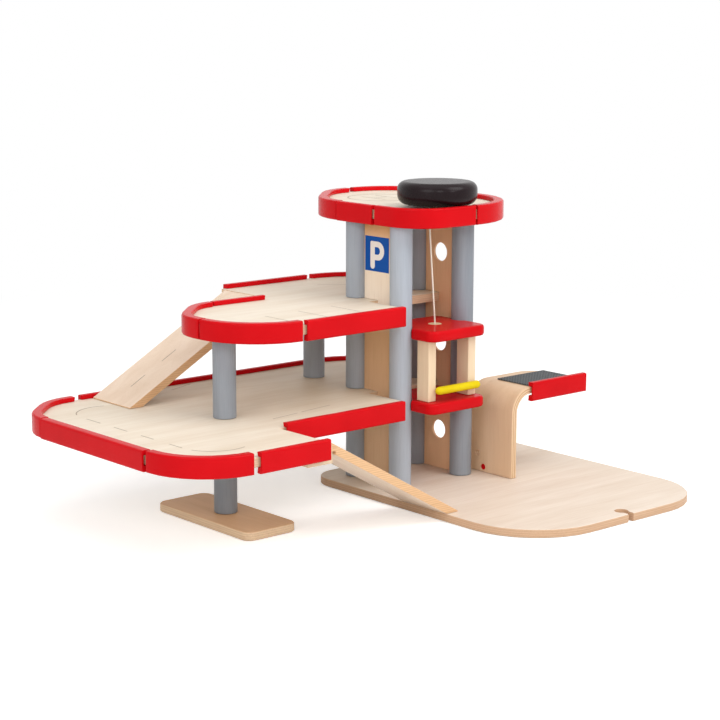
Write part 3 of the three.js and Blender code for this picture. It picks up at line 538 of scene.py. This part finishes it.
# Each board's material, and how far its edges are eased, in metres
BOARDS = {
    "base_plate": (birch("base_birch", X_GRAIN, (0.1, 0.2, 0), *BASE_TONES), 0.0008),
    "foot_plate": (birch("foot_birch_painted_shade", Y_GRAIN, (0.7, 0.1, 0), *FOOT_TONES_PAINTED_SHADE), 0.0008),
    "deck_1": (birch("deck_1_birch", X_GRAIN, (1.3, 0.4, 0), *DECK_TONES), 0.0006),
    "deck_2": (birch("deck_2_birch", X_GRAIN, (2.1, 0.9, 0), *DECK_TONES), 0.0006),
    "roof_deck": (birch("roof_birch", X_GRAIN, (3.4, 1.7, 0), *DECK_TONES), 0.0006),
    "panel_left": (panel_with_painted_light_and_shade("panel_left_birch_painted_light_and_shade", (0, 1.2, 0.4), PANEL_LEFT_PAINTED_LIGHT_AND_SHADE), 0.0004),
    "panel_right": (panel_with_painted_light_and_shade("panel_right_birch_painted_shade", (0, 2.3, 0.9), PANEL_RIGHT_PAINTED_SHADE), 0.0004),
    "lower_ramp": (birch("lower_ramp_birch", X_GRAIN, (4.2, 0.3, 0), *RAMP_TONES), 0.0007),
    "upper_ramp": (birch("upper_ramp_birch", X_GRAIN, (5.1, 0.8, 0), *RAMP_TONES), 0.0007),
    "lower_ramp_batten": (birch("lower_batten_birch", Y_GRAIN, (6, 0, 0), *BATTEN_TONES), 0.0007),
    "upper_ramp_batten": (birch("upper_batten_birch", Y_GRAIN, (7, 0, 0), *BATTEN_TONES), 0.0007),
    "cabin_post_left": (birch("cabin_post_left_wood", Z_GRAIN, (8, 0, 0), *CABIN_POST_TONES), 0.0007),
    "cabin_post_right": (birch("cabin_post_right_wood", Z_GRAIN, (9, 0, 0), *CABIN_POST_TONES), 0.0007),
    "cabin_cord_plug": (birch("cord_plug_wood", X_GRAIN, (10, 0, 0), *PLUG_TONES), 0.0003),
    "winding_drum": (birch("drum_wood", Z_GRAIN, (11, 0, 0), *DRUM_TONES), 0.0004),
    "canopy": (bent_birch("canopy_birch", (12, 0, 0)), 0.0006),
}
for name, (material, edge) in BOARDS.items():
    dress(name, material, "birch", edge)

# The other pieces: material, slot and eased edge
SMALL_PIECES = {
    "cabin_floor": (RED, "red_paint", 0.0005),
    "cabin_top": (RED, "red_paint", 0.0005),
    "canopy_wall_plug": (RED, "red_paint", 0.0003),
    "barrier_bar": (YELLOW, "yellow_paint", 0.0003),
    "barrier_pivot": (STEEL, "steel", 0.0002),
    "winding_knob": (BLACK, "black_lacquer", 0.0004),
    "canopy_pad": (PAD, "grey_pad", 0.0004),
}
for name, finish in SMALL_PIECES.items():
    dress(name, *finish)


# Lines and signs printed on the boards
PRINT_LIFT = 0.00012


def ribbon(name, runs, width):
    """Flat printed lines: each run is a list of points, each with the normal of the board."""
    shape = bmesh.new()
    for run in runs:
        previous = None
        for index, (point, normal) in enumerate(run):
            before = run[max(index - 1, 0)][0]
            after = run[min(index + 1, len(run) - 1)][0]
            side = (after - before).normalized().cross(normal) * width / 2
            lifted = point + normal * PRINT_LIFT
            pair = (shape.verts.new(lifted - side), shape.verts.new(lifted + side))
            if previous:
                face = shape.faces.new((previous[0], previous[1], pair[1], pair[0]))
                face.normal_update()
                if face.normal.dot(normal) < 0:
                    face.normal_flip()
            previous = pair
    return added(finish_mesh(name, shape), "garage", "birch", ROAD_INK)


UP = Vector((0, 0, 1))


def level_run(height, *places):
    return [(at(x, y, height), UP) for x, y in places]


def arc_run(height, centre_x, centre_y, radius, start, end, steps=14):
    turns = [radians(start + (end - start) * step / steps) for step in range(steps + 1)]
    return level_run(height, *((centre_x + radius * cos(a), centre_y + radius * sin(a)) for a in turns))


DECK_1, DECK_2, ROOF = (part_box(board)[1].z * 1000 for board in ("deck_1", "deck_2", "roof_deck"))
LANE_WIDTH, BAY_WIDTH_LOW, BAY_WIDTH_HIGH = 0.0012, 0.0009, 0.001

# The lane round the open end of deck 1: dashes from a far to a near y, and a turn at each end
LANE_X, LANE_DASHES = -326.5, ((131, 104), (79, 55), (30, 7.5), (-19, -41))
TURN_X, TURN_RADIUS = -290, 36.5
BACK_TURN_Y, FRONT_TURN_Y = 140, -43
ribbon("deck_1_lane_print", [
    *(level_run(DECK_1, (LANE_X, far), (LANE_X, near)) for far, near in LANE_DASHES),
    arc_run(DECK_1, TURN_X, BACK_TURN_Y, TURN_RADIUS, 158, 68),
    arc_run(DECK_1, TURN_X, FRONT_TURN_Y, TURN_RADIUS, 198, 292),
], LANE_WIDTH)

# Lines between parking bays, each from one (x, y) to another
DECK_1_BAYS = (((-177, 4), (-139, 9.5)), ((-133, 11), (-87, 18)), ((-171, 196), (-135, 210)))
DECK_2_BAYS = (
    ((-162, 36), (-162, -11)), ((-114.5, 38), (-114.5, -10)), ((-65.5, 42), (-65.5, -6)),
    ((25.5, 175), (51, 153)),
)
ribbon("deck_1_bay_print", [level_run(DECK_1, *line) for line in DECK_1_BAYS], BAY_WIDTH_LOW)
ribbon("deck_2_bay_print", [level_run(DECK_2, *line) for line in DECK_2_BAYS], BAY_WIDTH_HIGH)

RAMP_TIP = 0.001


def slope_run(node, y, *reaches):
    """Dashes on a ramp that falls along -X, between distances in millimetres from its upper end."""
    low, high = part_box(node)
    top = Vector((high.x, y, high.z))
    along = (Vector((low.x, y, low.z + RAMP_TIP)) - top).normalized()
    normal = Vector((along.z, 0, -along.x))
    return [[(top + along * reach / 1000, normal) for reach in pair] for pair in reaches]


RAMP_LINE_Y, RAMP_LINE_WIDTH = 177.5, 0.0011
RAMP_DASHES = ((62, 84), (110, 132), (158, 180))
ribbon("upper_ramp_print", slope_run("upper_ramp", at(0, RAMP_LINE_Y, 0).y, *RAMP_DASHES), RAMP_LINE_WIDTH)

# Landing ring and its letter on the roof
RING_X, RING_Y, RING_RADIUS = 75, 119, 38
LETTER_HALF_WIDTH, LETTER_HALF_HEIGHT = 11, 21
stem_left, stem_right = RING_X - LETTER_HALF_WIDTH, RING_X + LETTER_HALF_WIDTH
letter_front, letter_back = RING_Y - LETTER_HALF_HEIGHT, RING_Y + LETTER_HALF_HEIGHT
ribbon("roof_landing_ring", [arc_run(ROOF, RING_X, RING_Y, RING_RADIUS, 0, 360, 40)], LANE_WIDTH)
ribbon("roof_landing_letter", [
    level_run(ROOF, (stem_left, letter_front), (stem_left, letter_back)),
    level_run(ROOF, (stem_right, letter_front), (stem_right, letter_back)),
    level_run(ROOF, (stem_left, RING_Y), (stem_right, RING_Y)),
], LANE_WIDTH)

# Parking sign on the left panel
panel_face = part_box("panel_left")[0].x


def panel_point(y, z, lift):
    place = at(0, y, z)
    return Vector((panel_face - PRINT_LIFT - lift, place.y, place.z))


def corner_arc(y, z, radius, start, end, steps):
    turns = [radians(start + (end - start) * step / steps) for step in range(steps + 1)]
    return [(y + radius * cos(a), z + radius * sin(a)) for a in turns]


def panel_sheet(name, material, lift, *outlines):
    """A flat printed shape on the panel: its outline, then the holes in it."""
    shape = bmesh.new()
    lines = []
    for outline in outlines:
        corners = [shape.verts.new(panel_point(y, z, lift)) for y, z in outline]
        lines += [shape.edges.new((corners[i - 1], corners[i])) for i in range(len(corners))]
    bmesh.ops.triangle_fill(shape, use_beauty=True, edges=lines)
    for face in shape.faces:
        face.normal_update()
        if face.normal.x > 0:
            face.normal_flip()
    return added(finish_mesh(name, shape), "garage", "birch", material)


# The blue field, then the letter: a stem with a rounded foot and a bowl with a hole
SIGN_FRONT, SIGN_BACK, SIGN_LOW, SIGN_HIGH = 19.9, 59.7, 248.9, 288
panel_sheet("parking_sign_field", SIGN_INK, 0, [
    (SIGN_FRONT, SIGN_LOW), (SIGN_BACK, SIGN_LOW), (SIGN_BACK, SIGN_HIGH), (SIGN_FRONT, SIGN_HIGH)])
STEM_BACK, STEM_FRONT, LETTER_HIGH, BOWL_LOW = 50.7, 43.3, 282.6, 261.6
stem_radius = (STEM_BACK - STEM_FRONT) / 2
bowl_radius = (LETTER_HIGH - BOWL_LOW) / 2
bowl_middle = (LETTER_HIGH + BOWL_LOW) / 2
HOLE_RADIUS, HOLE_CENTRE, BOWL_CENTRE, STEM_LOW, LETTER_CORNER = 4.2, 39, 38.3, 255.2, 2
panel_sheet("parking_sign_letter", SIGN_LETTER, PRINT_LIFT, [
    *corner_arc(STEM_BACK - LETTER_CORNER, LETTER_HIGH - LETTER_CORNER, LETTER_CORNER, 0, 90, 4),
    *corner_arc(BOWL_CENTRE, bowl_middle, bowl_radius, 90, 270, 18),
    (STEM_FRONT, BOWL_LOW),
    *corner_arc((STEM_BACK + STEM_FRONT) / 2, STEM_LOW, stem_radius, 180, 360, 10),
], [
    (STEM_FRONT, bowl_middle + HOLE_RADIUS),
    *corner_arc(HOLE_CENTRE, bowl_middle, HOLE_RADIUS, 90, 270, 12),
    (STEM_FRONT, bowl_middle - HOLE_RADIUS),
])


# Wound and hanging cord: its radius in millimetres, and how its strands are laid
CORD_RADIUS, STRANDS, STRAND_SHARE, STRAND_SIDES = 1, 3, 0.52, 6


def twisted(name, route, pitch=0.007):
    """A laid cord: strands wound round a route of close points."""
    shape = bmesh.new()
    lengths = [0.0]
    for first, second in zip(route, route[1:]):
        lengths.append(lengths[-1] + (second - first).length)
    last = len(route) - 1
    tangents = [(route[min(i + 1, last)] - route[max(i - 1, 0)]).normalized() for i in range(last + 1)]
    side = tangents[0].orthogonal().normalized()
    frames = []
    for tangent in tangents:
        side = (side - tangent * side.dot(tangent)).normalized()
        frames.append((side, tangent.cross(side)))
    radius = CORD_RADIUS / 1000
    strand_radius = radius * STRAND_SHARE
    offset = radius - strand_radius
    for strand in range(STRANDS):
        rings = []
        for point, length, (u, v) in zip(route, lengths, frames):
            phase = 2 * pi * (length / pitch + strand / STRANDS)
            middle = point + (u * cos(phase) + v * sin(phase)) * offset
            rings.append([shape.verts.new(middle + (u * cos(a) + v * sin(a)) * strand_radius)
                          for a in (2 * pi * s / STRAND_SIDES for s in range(STRAND_SIDES))])
        for ring, following in zip(rings, rings[1:]):
            for s in range(STRAND_SIDES):
                after = (s + 1) % STRAND_SIDES
                shape.faces.new((ring[s], ring[after], following[after], following[s]))
        shape.faces.new(rings[0][::-1])
        shape.faces.new(rings[-1])
    bmesh.ops.recalc_face_normals(shape, faces=shape.faces)
    return finish_mesh(name, shape, radians(80))


def smooth_route(points, spacing):
    """Close points along a curve through the given ones."""
    out = []
    padded = [points[0] * 2 - points[1], *points, points[-1] * 2 - points[-2]]
    for i in range(1, len(padded) - 2):
        a, b, c, d = padded[i - 1:i + 3]
        count = max(2, int((c - b).length / spacing))
        for k in range(count):
            t = k / count
            out.append(0.5 * (2 * b + (c - a) * t + (2 * a - 5 * b + 4 * c - d) * t * t
                              + (3 * b - a - 3 * c + d) * t * t * t))
    out.append(points[-1])
    return out


knob_low, knob_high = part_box("winding_knob")
knob_place = ((knob_low + knob_high) / 2 - ORIGIN) * 1000
KNOB_X, KNOB_Y = knob_place.x, knob_place.y
WIND_RADIUS, DROP_REACH, CORD_BEND = 10, 10, 3
DROP_HEADING = radians(234)
CORD_START, HOLE_DEPTH, CORD_SPACING = 0.5, 2, 0.0011
CORD_LEAN_SHARES = (0.12, 0.3, 0.5, 0.7, 0.88)
wind_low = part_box("wound_cord")[0].z * 1000
cord_top = wind_low + 3 * CORD_RADIUS
roof_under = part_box("roof_deck")[0].z * 1000
leave_x = KNOB_X + WIND_RADIUS * sin(DROP_HEADING)
leave_y = KNOB_Y - WIND_RADIUS * cos(DROP_HEADING)
cabin_low, cabin_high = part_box("cabin_cord_plug")
cabin_point = (cabin_low + cabin_high) / 2


def on_cord(reach, z):
    """A place on the cord's way from the drum to its hole in the roof."""
    return at(leave_x + reach * cos(DROP_HEADING), leave_y + reach * sin(DROP_HEADING), z)


places = [on_cord(CORD_START, cord_top)]
for degrees in (0, 30, 60, 90):
    reach = DROP_REACH - CORD_BEND + CORD_BEND * sin(radians(degrees))
    places.append(on_cord(reach, cord_top - CORD_BEND + CORD_BEND * cos(radians(degrees))))
hole_end = on_cord(DROP_REACH, roof_under)
places += [on_cord(DROP_REACH, ROOF - HOLE_DEPTH), hole_end]
foot = Vector((cabin_point.x, cabin_point.y, cabin_high.z))
for share in CORD_LEAN_SHARES:
    places.append(hole_end.lerp(foot, share))
places += [foot, Vector((cabin_point.x, cabin_point.y, cabin_low.z))]
cord = twisted("lift_cord_twist", smooth_route(places, CORD_SPACING))
cord.data.materials.append(COTTON)
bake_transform(cord)
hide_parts("lift_cord")

TURN_COUNT, TURN_STEPS = 3, 40
turn_rise = 2 * CORD_RADIUS * (TURN_COUNT - 1) / (TURN_STEPS * TURN_COUNT)
winding = []
for step in range(TURN_STEPS * TURN_COUNT + 1):
    heading = DROP_HEADING + 2 * pi * step / TURN_STEPS
    winding.append(at(KNOB_X + WIND_RADIUS * sin(heading), KNOB_Y - WIND_RADIUS * cos(heading),
                      wind_low + CORD_RADIUS + turn_rise * step))
wound = twisted("wound_cord_twist", winding)
added(wound, "winder", "cotton_cord", COTTON)
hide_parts("wound_cord")

knot_low, knot_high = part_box("cord_knot")
knot_middle = (knot_low + knot_high) / 2
KNOT_STEPS, KNOT_WIDTH, KNOT_RISE, KNOT_LIFT, KNOT_PITCH = 96, 0.00098, 0.0016, 0.0009, 0.006
knot_route = []
for step in range(KNOT_STEPS + 1):
    turn = 2 * pi * step / KNOT_STEPS
    knot_route.append(knot_middle + Vector((
        (sin(turn) + 2 * sin(2 * turn)) * KNOT_WIDTH,
        (cos(turn) - 2 * cos(2 * turn)) * KNOT_WIDTH,
        -sin(3 * turn) * KNOT_RISE + KNOT_LIFT)))
knot = twisted("lift_cord_knot", knot_route, pitch=KNOT_PITCH)
TAIL_START, TAIL_STEP, TAIL_POINTS = Vector((0.0004, 0.0002, 0.001)), Vector((0, 0, 0.0006)), 9
tail_route = [knot_middle + TAIL_START - TAIL_STEP * point for point in range(TAIL_POINTS)]
tail = twisted("lift_cord_tail", tail_route)
for piece in (knot, tail):
    added(piece, "lift", "cotton_cord", COTTON)
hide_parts("cord_knot")


# Cross-headed screws: the cross is cut by two blocks, sized as shares of its reach
SLOT_SHARE, DEPTH_SHARE, SCREW_SIDES = 0.24, 0.45, 32


def turned_screw(name, centre, profile, recess):
    """A screw with its head down: (radius, depth) pairs in millimetres, and a cross cut in the head."""
    shape = bmesh.new()
    rings = []
    for radius, depth in profile:
        z = centre.z - depth / 1000
        if radius == 0:
            rings.append([shape.verts.new((centre.x, centre.y, z))])
        else:
            rings.append([shape.verts.new((centre.x + radius / 1000 * cos(2 * pi * s / SCREW_SIDES),
                                           centre.y + radius / 1000 * sin(2 * pi * s / SCREW_SIDES), z))
                          for s in range(SCREW_SIDES)])
    for low, high in zip(rings, rings[1:]):
        for s in range(SCREW_SIDES):
            following = (s + 1) % SCREW_SIDES
            corners = []
            for corner in (low[s % len(low)], low[following % len(low)],
                           high[following % len(high)], high[s % len(high)]):
                if corner not in corners:
                    corners.append(corner)
            if len(corners) > 2:
                shape.faces.new(corners)
    bmesh.ops.recalc_face_normals(shape, faces=shape.faces)
    made = finish_mesh(name, shape, radians(40))
    end = max(depth for radius, depth in profile)
    head = (centre.x, centre.y, centre.z - end / 1000)
    narrow = recess * SLOT_SHARE
    cutters = []
    for index, (half_x, half_y) in enumerate(((recess, narrow), (narrow, recess))):
        cutter_shape = bmesh.new()
        block = bmesh.ops.create_cube(cutter_shape, size=1)["verts"]
        block_size = Vector((half_x, half_y, recess * DEPTH_SHARE)) * 2 / 1000
        bmesh.ops.scale(cutter_shape, vec=block_size, verts=block)
        bmesh.ops.translate(cutter_shape, vec=head, verts=block)
        cutters.append(finish_mesh(f"{name}_cutter_{index}", cutter_shape))
        cut = made.modifiers.new(f"slot_{index}", "BOOLEAN")
        cut.object = cutters[-1]
        cut.solver = "EXACT"
    bpy.context.view_layer.update()
    graph = bpy.context.evaluated_depsgraph_get()
    flat = bpy.data.meshes.new_from_object(made.evaluated_get(graph))
    made.modifiers.clear()
    made.data = flat
    for cutter in cutters:
        bpy.data.objects.remove(cutter)
    return made


# Screws under the base and the foot, by their places in plan
SCREW_PROFILE = (
    (0, -14), (1.2, -12), (1.9, -9), (1.9, -2.4), (3.9, -0.35), (4.1, -0.1), (3.9, 0), (0, 0),
)
SPAN, DEPTH, CANOPY_SCREW_X = 94, 73.9, 123.5
SCREW_PLACES = {
    "base_screw_left": (0, 0), "base_screw_right": (SPAN, 0), "base_screw_rear_left": (0, DEPTH),
    "base_screw_rear_right": (SPAN, DEPTH), "foot_screw": (-211, 43),
    "canopy_screw_front": (CANOPY_SCREW_X, -43), "canopy_screw_back": (CANOPY_SCREW_X, 1),
}
SCREW_SINK, SCREW_RECESS = 0.3, 2.2
for name, (x, y) in SCREW_PLACES.items():
    screw = turned_screw(name, at(x, y, SCREW_SINK), SCREW_PROFILE, SCREW_RECESS)
    added(screw, "garage", "steel", STEEL)

# The screw that holds the winding shaft, with a wide washer head
KEEPER_PROFILE = (
    (0, -14), (1.9, -13), (1.9, 0), (9.6, 0), (10, 0.5), (9.8, 1.4), (8.2, 2.5), (5, 3), (0, 3),
)
KEEPER_HEAD, KEEPER_RECESS = 0.003, 2.6
keeper_low, keeper_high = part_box("shaft_keeper_screw")
keeper_middle = (keeper_low + keeper_high) / 2
keeper_place = Vector((keeper_middle.x, keeper_middle.y, keeper_low.z + KEEPER_HEAD))
keeper = turned_screw("shaft_keeper_finish", keeper_place, KEEPER_PROFILE, KEEPER_RECESS)
added(keeper, "winder", "steel", STEEL)
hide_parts("shaft_keeper_screw")

# Floor, light and background
FLOOR_SIZE, FLOOR_GAP, FLOOR_GLOW = 24, 0.0002, 0.42
centre = (cad_box[0] + cad_box[1]) / 2
floor_shape = bmesh.new()
bmesh.ops.create_grid(floor_shape, x_segments=1, y_segments=1, size=FLOOR_SIZE)
floor = finish_mesh("floor", floor_shape)
floor.location = (centre.x, centre.y, cad_box[0].z - FLOOR_GAP)
paper = Shading("pale_floor")
grain = paper.noise(paper.stretched((60, 60, 60)), 2, 0.5)
paper.colour(paper.ramp(grain, (0.3, (238, 238, 237)), (0.7, (243, 243, 242))))
paper.rough(0.9)
paper.surface.inputs["Specular IOR Level"].default_value = 0.0

# The floor glows a little where it is seen, and fades into the white background away from the toy
rays = paper.node("ShaderNodeLightPath")
seen = paper.math("MAXIMUM", rays.outputs["Is Camera Ray"],
                  paper.math("MAXIMUM", rays.outputs["Is Glossy Ray"], rays.outputs["Is Transmission Ray"]))
glow = paper.node("ShaderNodeEmission")
paper.link(paper.math("MULTIPLY", seen, FLOOR_GLOW), glow.inputs["Strength"])
lit = paper.node("ShaderNodeAddShader")
paper.link(paper.surface.outputs[0], lit.inputs[0])
paper.link(glow.outputs[0], lit.inputs[1])
plain = paper.node("ShaderNodeEmission")
distance = paper.node("ShaderNodeVectorMath", operation="LENGTH")
paper.link(paper.place, distance.inputs[0])
fade = paper.node("ShaderNodeMixShader")
FADE_SCALE, FADE_START, FADE_END = 0.25, 0.12, 0.4
spread = paper.math("MULTIPLY", distance.outputs["Value"], FADE_SCALE)
paper.link(paper.math("MULTIPLY", paper.grey(spread, FADE_START, 0, FADE_END, 1), seen), fade.inputs[0])
paper.link(lit.outputs[0], fade.inputs[1])
paper.link(plain.outputs[0], fade.inputs[2])
paper.link(fade.outputs[0], paper.tree.nodes["Material Output"].inputs["Surface"])
floor.data.materials.append(paper.material)

# White where the camera or a gloss sees the background, weaker as light
SKY_LIGHT, SKY_SEEN = 0.56, 1.0
world = bpy.data.worlds.new("studio")
bpy.context.scene.world = world
world.use_nodes = True
sky = world.node_tree
background = sky.nodes["Background"]
path = sky.nodes.new("ShaderNodeLightPath")
either = sky.nodes.new("ShaderNodeMath")
either.operation = "MAXIMUM"
clear = sky.nodes.new("ShaderNodeMath")
clear.operation = "MAXIMUM"
strength = sky.nodes.new("ShaderNodeMapRange")
sky.links.new(path.outputs["Is Camera Ray"], either.inputs[0])
sky.links.new(path.outputs["Is Glossy Ray"], either.inputs[1])
sky.links.new(either.outputs[0], clear.inputs[0])
sky.links.new(path.outputs["Is Transmission Ray"], clear.inputs[1])
sky.links.new(clear.outputs[0], strength.inputs["Value"])
strength.inputs["To Min"].default_value = SKY_LIGHT
strength.inputs["To Max"].default_value = SKY_SEEN
sky.links.new(strength.outputs[0], background.inputs["Strength"])
background.inputs["Color"].default_value = (1, 1, 1, 1)


def lamp(name, direction, distance_away, size, power):
    """A round lamp that looks at the middle of the toy."""
    light = bpy.data.lights.new(name, "AREA")
    light.shape = "DISK"
    light.size = size
    light.energy = power
    made = bpy.data.objects.new(name, light)
    bpy.context.scene.collection.objects.link(made)
    way = Vector(direction).normalized()
    made.location = centre + way * distance_away
    made.rotation_euler = way.to_track_quat("Z", "Y").to_euler()


lamp("key_light", (0.42, -0.85, 0.95), 2.4, 1.6, 27)
lamp("top_light", (-0.2, -0.1, 1), 2.2, 2.2, 11)
lamp("fill_light", (-1, -0.35, 0.45), 2.6, 1.6, 17)
lamp("glint_left", (-0.62, -0.95, 0.42), 2.2, 0.42, 4.6)
lamp("glint_front", (0.1, -1, 0.36), 2.2, 0.36, 3.6)

bpy.context.scene.view_settings.view_transform = "Standard"
